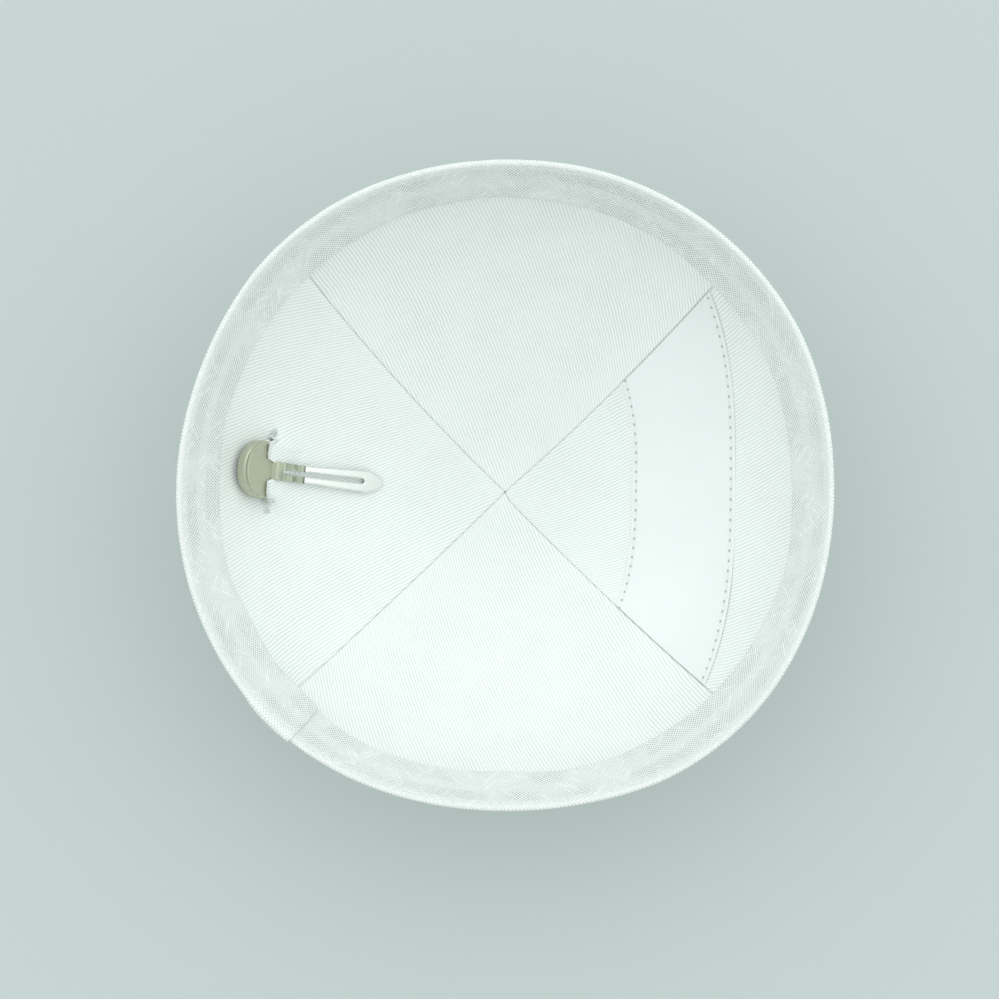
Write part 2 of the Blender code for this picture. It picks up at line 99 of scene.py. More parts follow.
# Clip, as in the part's source
BUTTON_RADIUS = 8.0 * MM
BUTTON_HEIGHT = 3.0 * MM
BUTTON_WALL = 0.6 * MM
BUTTON_SEAT = 0.7 * MM
BUTTON_TILT = 9.0
CLIP_ALONG = 83.78 * MM
CLIP_AZIMUTH = 175.5
CLIP_TURN = 0.8
HEAD_RADIUS = 7.85 * MM
STRIP_THICKNESS = 0.5 * MM
NECK_RAMP = 0.9 * MM
STEM_LENGTH = 14.3 * MM
BLADE_LENGTH = 27.2 * MM
STEM_WIDTH = 5.0 * MM
BLADE_WIDTH = 6.6 * MM
SLOT_WIDTH = 1.6 * MM
SLOT_START = 6.3 * MM
SLOT_TO_TIP = 6.7 * MM
NOSE_LENGTH = 5.3 * MM
SLIT_HALF_LENGTH = 9.6 * MM
FLAP_RUN_OUT = 13.0 * MM
CLEARANCE = 0.3 * MM
HEAD_LEVEL = BUTTON_HEIGHT + CLEARANCE
STEM_LEVEL = BUTTON_HEIGHT + 1.7 * MM
HEAD_REACH = 0.6 * MM  # how far the head's broad plate runs on past the button's middle
NECK_REACH = 2.3 * MM  # where the narrow neck steps up to the stem
BLADE_BEND = radians(22.48)

# Slit lining, lifted over the button
FLAP_LEVEL = BUTTON_HEIGHT + 1.3 * MM  # its upper face over the button
SLIT_ALONG = CLIP_ALONG - 0.5 * MM  # the flap's edge over the button
SLIT_UPPER = CLIP_ALONG - 4.6 * MM  # the slit where the cloth lies flat
SLIT_TILT = 0.05
NOTCH_DEPTH = 2.9 * MM  # of the flap's edge under the strip's neck
SLOT_BULGE = 0.88 * MM  # how far the cloth presses up into the strip's slot
FLAP_BAND = 17.0 * MM  # cloth below the slit that the button lifts

# Thin cloth
LINING_THICKNESS = 0.35 * MM
SHELL_THICKNESS = 0.35 * MM
TAPE_THICKNESS = 0.42 * MM
LABEL_THICKNESS = 0.2 * MM
RIM_EASE = (  # how far the thin layers stand out at the rim, in millimetres
    # every 15 degrees from +X
    0.45, 0.55, 1.10, 1.10, 1.20, 1.30, 1.30, 1.20, 1.50, 1.30, 0.95, 0.75,
    0.75, 0.60, 0.50, 0.20, 0.15, -0.20, -0.20, -0.40, 0.45, 0.20, 0.30, 0.20,
)
EASE_START = 0.60  # share of the wall's length
SHELL_CROWN = 1.90 * MM  # inner face of the shell at the crown
SHELL_RIM = 0.5 * MM  # and at the rim, before the ease
SEAM_GAP = 0.03 * MM
SEAM_DEPTH = 0.18 * MM  # of the roll into a seam, and of the wider slope beside it
SEAM_SLOPE_DEPTH = 0.10 * MM
SEAM_SLOPE_WIDTH = 2.4 * MM
EDGE_OFFSETS = (0.0, 0.10 * MM, 0.22 * MM, 0.4 * MM, 0.75 * MM, 1.4 * MM, SEAM_SLOPE_WIDTH)
PUCKER_DEPTH = 0.05 * MM  # short puckers beside the seams
PUCKER_LENGTH = 5.0 * MM
SWELL_DEPTH = 0.22 * MM  # slow swell of the cloth between the seams
SWELL_LENGTH = 26.0 * MM
SHELL_SWELL_SHARE = 0.6
GORE_ROWS = 84
GORE_COLUMNS = 56
CUT_PAST_RIM = 0.9 * MM  # the gores' cut edge, inside the folded tape

# Binding
TAPE_INNER = -0.6 * MM  # visible face of the inner leg, before the ease
TAPE_OUTER = 1.4 * MM
TAPE_PAST = 0.6 * MM  # straight part of both legs past the panels' edge
TAPE_OUTER_LEG = 13.0 * MM
TAPE_WIDTHS = (  # inner leg from the panels' edge down, in millimetres
    # every 15 degrees from +X
    12.5, 12.5, 13.0, 13.5, 12.1, 11.3, 10.8, 11.5, 13.0, 13.7, 13.0, 12.1,
    12.9, 12.7, 14.7, 13.9, 11.8, 11.8, 12.6, 11.2, 13.0, 13.3, 12.8, 11.5,
)
TAPE_MIDDLE = 0.5 * (TAPE_INNER + TAPE_OUTER)
FOLD_RADIUS = 0.5 * (TAPE_OUTER - TAPE_INNER)
INNER_SHARES = (0.0, 0.006, 0.018, 0.04, 0.08, 0.14, 0.22, 0.32, 0.42, 0.52, 0.62, 0.72, 0.82, 0.9, 0.96, 1.0)
OUTER_SHARES = (0.0, 0.1, 0.25, 0.4, 0.55, 0.7, 0.85, 0.95, 0.985, 1.0)
FOLD_STEPS = 12
OUTER_START = 1.2  # the outer leg's first station, where the inner leg has 0 to 1
TAPE_EDGE_ROUNDING = 0.30 * MM
TAPE_COLUMNS = 460
LAP_AZIMUTH = 230.0
LAP_LENGTH = 11.0 * MM
LAP_RISE = 0.6 * MM

# Label
LABEL_INNER_EDGE = 41.2 * MM
LABEL_WIDTH = 35.2 * MM
LABEL_INNER_RISE = 9.4 * MM
LABEL_LOWER_RISE = 14.8 * MM  # of the outer edge, at the label's lower and its upper end
LABEL_UPPER_RISE = 16.8 * MM
LABEL_LIFT = 0.25 * MM
LABEL_ROUNDING = 0.14 * MM
STITCH_INSET = 1.45 * MM
STITCH_SINK = 0.14 * MM
STITCH_PITCH = 2.95 * MM

# Patterns
TWILL_PERIOD = 0.93 * MM
TWILL_ANGLE = radians(19.0)
TWILL_DRIFT = 0.9  # how far the lines wander, in periods
TWILL_JITTER = 0.25
FLOAT_TURN = radians(62.0)  # fine lines across the ribs
FLOAT_PITCH = 0.45 * MM
TWILL_SHADE = 0.935
LINEN_PITCH = 0.68 * MM
BIAS_ANGLE = radians(48.0)
LINEN_DRIFT = 1.6
LINEN_SHADE = 0.935
SLUB_STRETCH = 0.06  # a thick stretch of thread is this much slower along it than across
SLUB_SHINE = 0.12
SATIN_PITCH = 0.16 * MM
SATIN_SHADE = 0.855
DARK_PATCH_TO_CREASE = 4.7 * MM  # middle of the stem's dark patches

# Colours
BLACK = (0.0, 0.0, 0.0, 1.0)
CLOTH_TINT = (0.955, 1.0, 0.985, 1.0)
SATIN_TINT = (0.972, 1.0, 1.0, 1.0)
FLOOR_TINT = (0.545, 0.607, 0.598, 1.0)
NICKEL = (0.58, 0.60, 0.475, 1.0)
STEM_STEEL = (0.62, 0.66, 0.53, 1.0)
BLADE_STEEL = (0.82, 0.83, 0.81, 1.0)

# Light
LIGHT_TINT = (0.955, 1.0, 0.985)
SKY_STRENGTH = 1.70
SKY_OVERHEAD = 0.4  # shares of the sky's strength
SKY_LOW = 0.12
SKY_FRONT = 0.60
SIDE_POWER = 0.3


def smooth_step(value, low, high):
    share = min(max((value - low) / (high - low), 0.0), 1.0)
    return share * share * (3.0 - 2.0 * share)


def table_value(table, key):
    """Straight-line value of a two-column table."""
    for (low, low_value), (high, high_value) in zip(table, table[1:]):
        if key <= high:
            return low_value + (high_value - low_value) * (key - low) / (high - low)
    return table[-1][1]


def wall_profile():
    """Rows of (length, radius, height) of the lining face, from the crown's centre to the rim."""
    radius = height = 0.0
    walk = [(0.0, 0.0)]
    for index in range(PROFILE_SAMPLES):
        slope = radians(table_value(WALL_SLOPES, (index + 0.5) / PROFILE_SAMPLES))
        radius += cos(slope)
        height += sin(slope)
        walk.append((radius, height))
    length = 0.0
    rows = [(0.0, 0.0, 0.0)]
    for step_radius, step_height in walk[1:]:
        point = (step_radius / radius * RIM_RADIUS, step_height / height * HOLLOW_DEPTH)
        length += hypot(point[0] - rows[-1][1], point[1] - rows[-1][2])
        rows.append((length, *point))
    return rows


PROFILE = wall_profile()
WALL_LENGTH = PROFILE[-1][0]
CUT_LENGTH = WALL_LENGTH + CUT_PAST_RIM


def profile_at(length):
    """Radius and height at a length along the wall, straight on past the rim."""
    index = min(max(int(length / WALL_LENGTH * PROFILE_SAMPLES), 0), PROFILE_SAMPLES - 1)
    while index > 0 and PROFILE[index][0] > length:
        index -= 1
    while index < PROFILE_SAMPLES - 1 and PROFILE[index + 1][0] < length:
        index += 1
    start, end = PROFILE[index], PROFILE[index + 1]
    share = (length - start[0]) / (end[0] - start[0])
    return start[1] + (end[1] - start[1]) * share, start[2] + (end[2] - start[2]) * share


def rim_share(azimuth):
    """Smooth curve through the outline's rows, round the whole rim."""
    count = len(RIM_OUTLINE)
    place = (azimuth % 360.0) / (360.0 / count)
    index = int(place) % count
    share = place - int(place)
    before, start, end, after = (RIM_OUTLINE[(index + shift) % count] for shift in (-1, 0, 1, 2))
    return 0.5 * (2.0 * start + (end - before) * share
                  + (2.0 * before - 5.0 * start + 4.0 * end - after) * share ** 2
                  + (3.0 * (start - end) + after - before) * share ** 3)


def gore_share(azimuth):
    """How far an azimuth lies from its gore's first seam to its last."""
    for _, first, last in GORES:
        turned = (azimuth - first) % 360.0
        if turned <= last - first:
            return turned / (last - first)
    return 0.0


def wall_point(length, azimuth):
    """Point of the lining's inner face."""
    radius, height = profile_at(length)
    rise = min(max(length / WALL_LENGTH, 0.0), 1.0)
    outline = rise ** OUTLINE_FADE * (rim_share(azimuth) - 1.0)
    ridge = SEAM_RIDGE_SHARE * 4.0 * rise * (1.0 - rise) * cos(2.0 * pi * gore_share(azimuth))
    radius *= 1.0 + outline + ridge
    angle = radians(azimuth)
    return Vector((radius * cos(angle), radius * sin(angle), height + FLOOR_TO_LINING))


def wall_frame(length, azimuth):
    """Outward normal and upward tangent of the wall."""
    step = 0.2 * MM
    turn = 0.2
    upward = wall_point(length + step, azimuth) - wall_point(length - step, azimuth)
    around = wall_point(length, azimuth + turn) - wall_point(length, azimuth - turn)
    return around.cross(upward).normalized(), upward.normalized()


def round_value(values, azimuth):
    """Smooth value of a row of numbers that goes once round the rim."""
    place = (azimuth % 360.0) / (360.0 / len(values))
    index = int(place) % len(values)
    share = smooth_step(place - int(place), 0.0, 1.0)
    return values[index] * (1.0 - share) + values[(index + 1) % len(values)] * share


def rim_ease(length, azimuth):
    """How far the cloth stands out from the wall's formula near the rim."""
    return round_value(RIM_EASE, azimuth) * MM * smooth_step(length / WALL_LENGTH, EASE_START, 1.0)


def layer_point(length, azimuth, offset):
    """Point set off outwards from the lining's inner face, with the ease at the rim."""
    normal, _ = wall_frame(length, azimuth)
    return wall_point(length, azimuth) + normal * (offset + rim_ease(length, azimuth))


def ripple(u, v, scale, seed):
    """Smooth noise from -1 to 1 over cloth coordinates."""
    return noise.noise(Vector((u / scale, v / scale, seed)))


def make_object(name, vertices, faces, material, cloth=None):
    """Object from points and faces, with its cloth coordinates kept as an attribute."""
    mesh = bpy.data.meshes.new(name)
    mesh.from_pydata([tuple(point) for point in vertices], [], faces)
    if cloth is not None:
        layer = mesh.attributes.new("cloth", "FLOAT_VECTOR", "POINT")
        layer.data.foreach_set("vector", [value for row in cloth for value in row])
    builder = bmesh.new()
    builder.from_mesh(mesh)
    bmesh.ops.recalc_face_normals(builder, faces=builder.faces)
    builder.to_mesh(mesh)
    builder.free()
    mesh.materials.append(material)
    mesh.shade_smooth()
    mesh.set_sharp_from_angle(angle=radians(50.0))
    thing = bpy.data.objects.new(name, mesh)
    bpy.context.scene.collection.objects.link(thing)
    return thing


def make_sheet(name, near, far, faces, material, cloth):
    """Closed thin sheet between two copies of one grid."""
    count = len(near)
    edges = {}
    for face in faces:
        for start, end in zip(face, face[1:] + face[:1]):
            key = (min(start, end), max(start, end))
            edges[key] = None if key in edges else (start, end)
    sides = [(pair[1], pair[0], pair[0] + count, pair[1] + count) for pair in edges.values() if pair]
    backs = [tuple(index + count for index in reversed(face)) for face in faces]
    return make_object(name, near + far, faces + backs + sides, material, cloth + cloth)


def grid_faces(rows, columns):
    return [(row * columns + column, row * columns + column + 1,
             (row + 1) * columns + column + 1, (row + 1) * columns + column)
            for row in range(rows - 1) for column in range(columns - 1)]


def tube(path, radius, sides=5):
    """Points and faces of a closed thin tube along a path."""
    points, faces = [], []
    for index, point in enumerate(path):
        ahead = path[min(index + 1, len(path) - 1)] - path[max(index - 1, 0)]
        first = ahead.orthogonal().normalized()
        second = ahead.cross(first).normalized()
        for side in range(sides):
            turn = 2.0 * pi * side / sides
            points.append(point + (first * cos(turn) + second * sin(turn)) * radius)
    for ring in range(len(path) - 1):
        for side in range(sides):
            after = (side + 1) % sides
            faces.append((ring * sides + side, ring * sides + after,
                          (ring + 1) * sides + after, (ring + 1) * sides + side))
    faces.append(tuple(reversed(range(sides))))
    faces.append(tuple((len(path) - 1) * sides + side for side in range(sides)))
    return points, faces


def join_tubes(name, paths, radius, material):
    """Many threads as one mesh."""
    vertices, faces = [], []
    for path in paths:
        points, tube_faces = tube(path, radius)
        shift = len(vertices)
        vertices += points
        faces += [tuple(index + shift for index in face) for face in tube_faces]
    return make_object(name, vertices, faces, material)


def feed(tree, socket, value):
    """Link a wire to a node's input, or set the input's own value."""
    if isinstance(value, Wire):
        tree.links.new(value.socket, socket)
    else:
        socket.default_value = value


class Wire:
    """Value that a node gives out. Arithmetic with it adds math nodes."""

    def __init__(self, tree, socket):
        self.tree = tree
        self.socket = socket

    def math(self, operation, *others):
        """Result of a math node that takes this wire first."""
        made = self.tree.nodes.new("ShaderNodeMath")
        made.operation = operation
        for socket, value in zip(made.inputs, (self, *others)):
            feed(self.tree, socket, value)
        return Wire(self.tree, made.outputs[0])

    def __add__(self, other):
        return self.math("ADD", other)

    def __sub__(self, other):
        return self.math("SUBTRACT", other)

    def __rsub__(self, other):
        return self.math("MULTIPLY_ADD", -1.0, other)

    def __mul__(self, other):
        return self.math("MULTIPLY", other)

    def __abs__(self):
        return self.math("ABSOLUTE")

    def larger(self, other):
        return self.math("MAXIMUM", other)

    def floor(self):
        return self.math("FLOOR")

    def sine(self):
        return self.math("SINE")

    def wave(self):
        """From 0 to 1, highest at whole numbers."""
        return (self * (2.0 * pi)).math("COSINE") * 0.5 + 0.5

    def step(self, low, high, start=0.0, end=1.0):
        """Smooth change from start to end, as the wire's value goes from low to high."""
        made = self.tree.nodes.new("ShaderNodeMapRange")
        made.interpolation_type = "SMOOTHSTEP"
        keys = ("Value", "From Min", "From Max", "To Min", "To Max")
        for key, value in zip(keys, (self, low, high, start, end)):
            feed(self.tree, made.inputs[key], value)
        return Wire(self.tree, made.outputs["Result"])

    def parts(self):
        """The three coordinates of a vector or colour."""
        made = self.tree.nodes.new("ShaderNodeSeparateXYZ")
        feed(self.tree, made.inputs[0], self)
        return [Wire(self.tree, socket) for socket in made.outputs]


class Nodes:
    """Short hand for building a material's node tree."""

    def __init__(self, name):
        self.material = bpy.data.materials.new(name)
        self.material.use_nodes = True
        self.tree = self.material.node_tree
        self.shader = self.tree.nodes["Principled BSDF"]

    def node(self, kind, output, inputs, **settings):
        made = self.tree.nodes.new(kind)
        for key, value in settings.items():
            setattr(made, key, value)
        for key, value in inputs.items():
            feed(self.tree, made.inputs[key], value)
        return Wire(self.tree, made.outputs[output])

    def mix(self, share, first, second):
        return self.node("ShaderNodeMix", 2, {"Factor": share, 6: first, 7: second}, data_type="RGBA")

    def noise(self, scale, detail, roughness, vector):
        inputs = {"Scale": scale, "Detail": detail, "Roughness": roughness, "Vector": vector}
        return self.node("ShaderNodeTexNoise", "Fac", inputs)

    def specks(self, vector, spacing, size):
        """Small round flecks, in some of a scatter of cells."""
        inputs = {"Scale": 1.0 / spacing, "Vector": vector}
        distance = self.node("ShaderNodeTexVoronoi", "Distance", inputs)
        chance = self.node("ShaderNodeTexVoronoi", "Color", inputs).parts()[0]
        return (1.0 - distance.step(0.4 * size / spacing, size / spacing)) * chance.step(0.45, 0.9)

    def cloth(self):
        return self.node("ShaderNodeAttribute", "Vector", {}, attribute_name="cloth").parts()

    def place(self):
        return self.node("ShaderNodeTexCoord", "Object", {})

    def vector(self, x, y, z=0.0):
        return self.node("ShaderNodeCombineXYZ", 0, {0: x, 1: y, 2: z})

    def across(self, u, v, angle, period):
        """Coordinate across lines that run at an angle from the v direction, in periods."""
        return u * (cos(angle) / period) + v * (-sin(angle) / period)

    def bump(self, height, distance, strength):
        inputs = {"Distance": distance, "Strength": strength, "Height": height}
        feed(self.tree, self.shader.inputs["Normal"], self.node("ShaderNodeBump", "Normal", inputs))

    def finish(self, colour, roughness, **values):
        feed(self.tree, self.shader.inputs["Base Color"], colour)
        feed(self.tree, self.shader.inputs["Roughness"], roughness)
        for key, value in values.items():
            self.shader.inputs[key.replace("_", " ")].default_value = value
        return self.material


def twill_material():
    """Fine twill: thin darker lines between soft ribs, a few specks, and painted shade in the seams."""
    n = Nodes("lining_twill_fine")
    u, v, edge = n.cloth()
    flat = n.vector(u, v)
    drift = n.noise(160.0, 2.0, 0.5, flat) * TWILL_DRIFT
    jitter = n.noise(1400.0, 1.0, 0.5, flat) * TWILL_JITTER
    rib = (n.across(u, v, TWILL_ANGLE, TWILL_PERIOD) + (drift + jitter)).wave()
    floats = n.across(u, v, TWILL_ANGLE + FLOAT_TURN, FLOAT_PITCH).wave()
    groove = 1.0 - rib.step(0.05, 0.75)
    patch = n.noise(55.0, 3.0, 0.6, flat).step(0.35, 0.7)
    grain = n.noise(3400.0, 1.0, 0.5, flat).step(0.52, 0.72)
    # painted shade: the cloth is darkened within about 0.24 mm of a seam, in the seam's groove
    seam_shade = 1.0 - edge.step(0.02 * MM, 0.24 * MM)
    shade = TWILL_SHADE - groove * (patch * 0.06 + 0.14) - grain * 0.05
    shade = shade - n.specks(flat, 9.0 * MM, 0.22 * MM) * 0.16 - seam_shade * 0.26
    n.bump(rib + floats * 0.25, 0.07 * MM, 0.5)
    return n.finish(n.mix(shade, BLACK, CLOTH_TINT), 0.82,
                    Sheen_Weight=0.15, Sheen_Roughness=0.5, Specular_IOR_Level=0.25)


def linen_material(name, angle, banded):
    """Plain linen weave with slubby threads and open pin-holes, on the bias where it is a tape."""
    n = Nodes(name)
    u, v, edge = n.cloth()
    flat = n.vector(u, v)
    warp_drift = n.noise(90.0, 2.0, 0.5, flat) * LINEN_DRIFT
    weft_drift = n.noise(105.0, 2.0, 0.5, n.vector(v, u)) * LINEN_DRIFT
    across = n.across(u, v, angle, LINEN_PITCH) + warp_drift
    along = n.across(u, v, angle - 0.5 * pi, LINEN_PITCH) + weft_drift
    warp_gap, weft_gap = across.wave(), along.wave()
    hole = (warp_gap * weft_gap).step(0.30, 0.85)
    slub_warp = n.noise(1.0, 2.0, 0.6, n.vector(across.floor(), along * SLUB_STRETCH))
    slub_weft = n.noise(1.0, 2.0, 0.6, n.vector(across * SLUB_STRETCH, along.floor(), 7.0))
    bright = slub_warp.larger(slub_weft).step(0.55, 0.70)
    open_share = n.noise(70.0, 2.0, 0.6, flat).step(0.30, 0.62)
    level = LINEN_SHADE
    if banded:
        filled = 1.0 - abs(edge - 0.52).step(0.06, 0.17)
        # near the fold the pin-holes close, and the cloth is painted a little lighter: a painted highlight on
        # the rolled edge
        rim = edge.step(0.86, 0.97)
        open_share = open_share * (1.0 - filled * 0.75) * (1.0 - rim * 0.9)
        level = rim * 0.03 + LINEN_SHADE
    cut = hole * (open_share * 0.47 + 0.14)
    furrow = warp_gap.step(0.55, 1.0).larger(weft_gap.step(0.55, 1.0)) * 0.07
    shade = bright * SLUB_SHINE + level - (cut + furrow)
    weave = abs((across * pi).sine() * (along * pi).sine())
    n.bump(weave + bright * 0.5, 0.16 * MM, 0.8)
    return n.finish(n.mix(shade, BLACK, CLOTH_TINT), 0.9,
                    Sheen_Weight=0.1, Sheen_Roughness=0.6, Specular_IOR_Level=0.2)


def satin_material():
    """White satin ribbon: fine weft lines, soft cloudiness, and the dents of two stitch rows, with painted
    shade in them.
    """
    n = Nodes("satin_ribbon_fine")
    u, v, row = n.cloth()
    flat = n.vector(u, v)
    weft = (v * (1.0 / SATIN_PITCH)).wave()
    cloud = n.noise(38.0, 2.0, 0.5, flat).step(0.3, 0.75)
    beside = 1.0 - abs(row).step(0.12 * MM, 0.42 * MM)
    channel = 1.0 - abs(row).step(0.2 * MM, 0.9 * MM)
    dots = beside * (u * (1.0 / STITCH_PITCH)).wave().step(0.72, 0.97)
    # painted shade: dark dots at the needle holes and a faint darker channel along each sunk stitch line
    shade = cloud * 0.02 + SATIN_SHADE - dots * 0.42 - channel * 0.035
    shade = shade - n.specks(flat, 14.0 * MM, 0.3 * MM) * 0.10
    n.bump(weft * 0.12 - dots - channel * 0.5, 0.12 * MM, 0.8)
    return n.finish(n.mix(shade, BLACK, SATIN_TINT), 0.42, Specular_IOR_Level=0.4, Sheen_Weight=0.2)


def matt_metal(n, place, level):
    """Speckle, patches and shade of the button's matt plating."""
    speck = n.noise(5200.0, 3.0, 0.7, place)
    patch = n.noise(420.0, 3.0, 0.6, place)
    return speck, patch, speck.step(0.35, 0.7) * 0.10 + level - patch.step(0.5, 0.75) * 0.08


def nickel_material():
    """Matt nickel with fine speckle and a faint warm grey."""
    n = Nodes("nickel_matt")
    speck, patch, shade = matt_metal(n, n.place(), 0.90)
    n.bump(speck, 0.02 * MM, 0.5)
    return n.finish(n.mix(shade, BLACK, NICKEL), patch * 0.10 + 0.42, Metallic=1.0)


def steel_material():
    """Strip of three finishes: matt speckled head, banded stem and polished blade, with painted shade along
    the crease.
    """
    n = Nodes("spring_steel_bright")
    along, across, finish = n.cloth()
    speck, patch, matt = matt_metal(n, n.place(), 0.88)
    bands = n.noise(1.0, 2.0, 0.6, n.vector(along * 1500.0, across * 120.0))
    on_stem = finish.step(0.2, 0.3)
    polished = finish.step(0.7, 0.8)
    # darker patches on both sides of the stem, ahead of the crease
    dark_patch = 1.0 - abs(along + DARK_PATCH_TO_CREASE).step(0.5 * MM, 1.0 * MM)
    dark_patch = dark_patch * abs(across).step(0.9 * MM, 1.3 * MM)
    banded = bands.step(0.38, 0.62) * 0.36 + 0.64 - dark_patch * 0.28
    # painted shade: the colour drops to about an eighth in a band about a millimetre wide at the crease
    lit = abs(along + 0.22 * MM).step(0.28 * MM, 0.42 * MM) * 0.88 + 0.12
    rear = n.mix(on_stem, n.mix(matt, BLACK, NICKEL), n.mix(banded, BLACK, STEM_STEEL))
    blade = n.mix(patch * 0.06 + 0.93, BLACK, BLADE_STEEL)
    colour = n.mix(lit, BLACK, n.mix(polished, rear, blade))
    n.bump((bands * on_stem + speck * 0.4) * (1.0 - polished), 0.02 * MM, 0.4)
    return n.finish(colour, patch * 0.08 + 0.46 - polished * 0.20, Metallic=1.0)


def thread_material():
    n = Nodes("cotton_thread")
    shade = n.noise(3000.0, 2.0, 0.6, n.place()) * 0.08 + 0.89
    n.bump(n.noise(6000.0, 2.0, 0.6, n.place()), 0.03 * MM, 0.6)
    return n.finish(n.mix(shade, BLACK, CLOTH_TINT), 0.85, Sheen_Weight=0.1)


def floor_material():
    n = Nodes("pale_floor")
    shade = n.noise(900.0, 3.0, 0.6, n.place()) * 0.03 + 0.97
    return n.finish(n.mix(shade, BLACK, FLOOR_TINT), 0.95, Specular_IOR_Level=0.1)


class ClipPlace:
    """The plane of the clip's button, tucked into the wall, and what lies over it."""

    def __init__(self):
        normal, upward = wall_frame(CLIP_ALONG, CLIP_AZIMUTH)
        across = upward.cross(normal).normalized()
        self.foot = wall_point(CLIP_ALONG, CLIP_AZIMUTH)
        self.wall_normal = -normal
        turn = radians(CLIP_TURN)
        tilt = radians(BUTTON_TILT)
        down = -upward * cos(turn) + across * sin(turn)
        self.down = down * cos(tilt) - self.wall_normal * sin(tilt)
        self.side = self.wall_normal.cross(down).normalized()
        self.normal = self.down.cross(self.side).normalized()
        self.base = self.foot + self.wall_normal * BUTTON_SEAT

    def point(self, down, side, height):
        return self.base + self.down * down + self.side * side + self.normal * height

    def plane_height(self, point, height):
        level = self.base + self.normal * height
        return (level - point).dot(self.normal) / self.wall_normal.dot(self.normal)


CLIP = ClipPlace()
CLIP_RADIUS = profile_at(CLIP_ALONG)[0]


def fade(value, low, high):
    return 1.0 - smooth_step(value, low, high)


def flap_lift(length, azimuth):
    """How far the slit lining is lifted off the wall, where it lies over the button."""
    point = wall_point(length, azimuth)
    aside = abs(radians(azimuth - CLIP_AZIMUTH)) * CLIP_RADIUS
    past = CLIP_ALONG - length
    over = max(CLIP.plane_height(point, FLAP_LEVEL), 0.0)
    widened = 0.9 * min(max(past - 3.0 * MM, 0.0), 10.0 * MM)
    beside = fade(aside, BUTTON_RADIUS - 0.6 * MM, SLIT_HALF_LENGTH + widened)
    beyond = fade(past, BUTTON_RADIUS - 1.5 * MM, BUTTON_RADIUS + FLAP_RUN_OUT)
    down, side = (point - CLIP.base).dot(CLIP.down), (point - CLIP.base).dot(CLIP.side)
    in_slot = smooth_step(down, SLOT_START, SLOT_START + 1.5 * MM) * fade(down, 14.0 * MM, 20.0 * MM)
    return over * beside * beyond + SLOT_BULGE * in_slot * exp(-(side / (0.42 * MM)) ** 2)


def seam_azimuth(seam, length):
    """Azimuth of a sewn seam at a length along the wall."""
    rim, turn, shift = SEAMS[seam]
    radius, _ = profile_at(length)
    return rim + turn * (1.0 - length / WALL_LENGTH) + degrees(shift / max(radius, SEAM_SHIFT_RADIUS))


def spread(start, end, count):
    return [start + (end - start) * index / count for index in range(count + 1)]


def gore_columns(length, first, last, inner_shares):
    """Azimuths across a gore, with close columns beside both seams."""
    radius, _ = profile_at(length)
    first, last = seam_azimuth(first, length), seam_azimuth(last, length)
    width = radians(last - first) * radius
    fit = min(1.0, 0.25 * width / EDGE_OFFSETS[-1])
    low = [SEAM_GAP * 0.5 * fit + offset * fit for offset in EDGE_OFFSETS]
    high = [width - place for place in reversed(low)]
    inner = [low[-1] + (high[0] - low[-1]) * share for share in inner_shares]
    return [(first + degrees(place / radius), min(place, width - place))
            for place in low + inner + high]


def seam_dip(edge):
    """How far the cloth rolls down into a seam."""
    return SEAM_DEPTH * fade(edge, 0.0, 0.45 * MM) + SEAM_SLOPE_DEPTH * fade(edge, 0.0, SEAM_SLOPE_WIDTH)


def unevenness(u, v, edge, seed, swell_share=1.0):
    """Puckers beside the seams and a slow swell between them."""
    pucker = PUCKER_DEPTH * ripple(u, v, PUCKER_LENGTH, seed) * fade(edge, 2.0 * MM, 9.0 * MM)
    swell = SWELL_DEPTH * ripple(u, v, SWELL_LENGTH, seed + 3.0) * smooth_step(edge, 0.0, 8.0 * MM)
    return pucker + swell * swell_share


def gore_cloth(length, azimuth, name, first, last):
    """Cloth coordinates of a gore point: across and along its grain."""
    radius, _ = profile_at(length)
    turn = radians(azimuth - 0.5 * (first + last))
    straight = 1.0 - GRAIN_BOW
    across = radius * (turn - straight * (turn - sin(turn)))
    along = length * (1.0 - straight * (1.0 - cos(turn)))
    grain = radians(GRAIN_TURNS[name])
    return (across * cos(grain) - along * sin(grain),
            across * sin(grain) + along * cos(grain))


def add_gore(prefix, gore, offset_of, thickness, material, seed):
    """One gore as thin cloth that rolls down into its seams and puckers a little along them."""
    name, first, last = gore
    inside = prefix == "lining_"
    near, far, cloth = [], [], []
    lengths = spread(CROWN_TIP_RADIUS, CUT_LENGTH, GORE_ROWS)
    inner_shares = spread(0.0, 1.0, GORE_COLUMNS)[1:-1]
    for length in lengths:
        for azimuth, edge in gore_columns(min(length, WALL_LENGTH), first, last, inner_shares):
            u, v = gore_cloth(length, azimuth, name, first, last)
            uneven = unevenness(u, v, edge, seed, 1.0 if inside else SHELL_SWELL_SHARE)
            offset = offset_of(length) + uneven
            dip = seam_dip(edge)
            near_dip, far_dip = (dip, 0.4 * dip) if inside else (-0.4 * dip, -dip)
            near.append(layer_point(length, azimuth, offset + near_dip))
            far.append(layer_point(length, azimuth, offset + thickness + far_dip))
            cloth.append((u, v, edge))
    faces = grid_faces(len(lengths), len(near) // len(lengths))
    return make_sheet(prefix + name, near, far, faces, material, cloth)


def slit_edge(aside):
    """Length along the wall of the flap's torn edge, which is pulled back over the button."""
    pulled = fade(abs(aside), BUTTON_RADIUS - 1.0 * MM, SLIT_HALF_LENGTH)
    beside_neck = smooth_step(abs(aside), 0.5 * STEM_WIDTH - 0.15 * MM, 0.5 * STEM_WIDTH + 1.0 * MM)
    middle = SLIT_ALONG - SLIT_TILT * aside - NOTCH_DEPTH * (1.0 - beside_neck ** 0.6)
    return SLIT_UPPER + (middle - SLIT_UPPER) * pulled


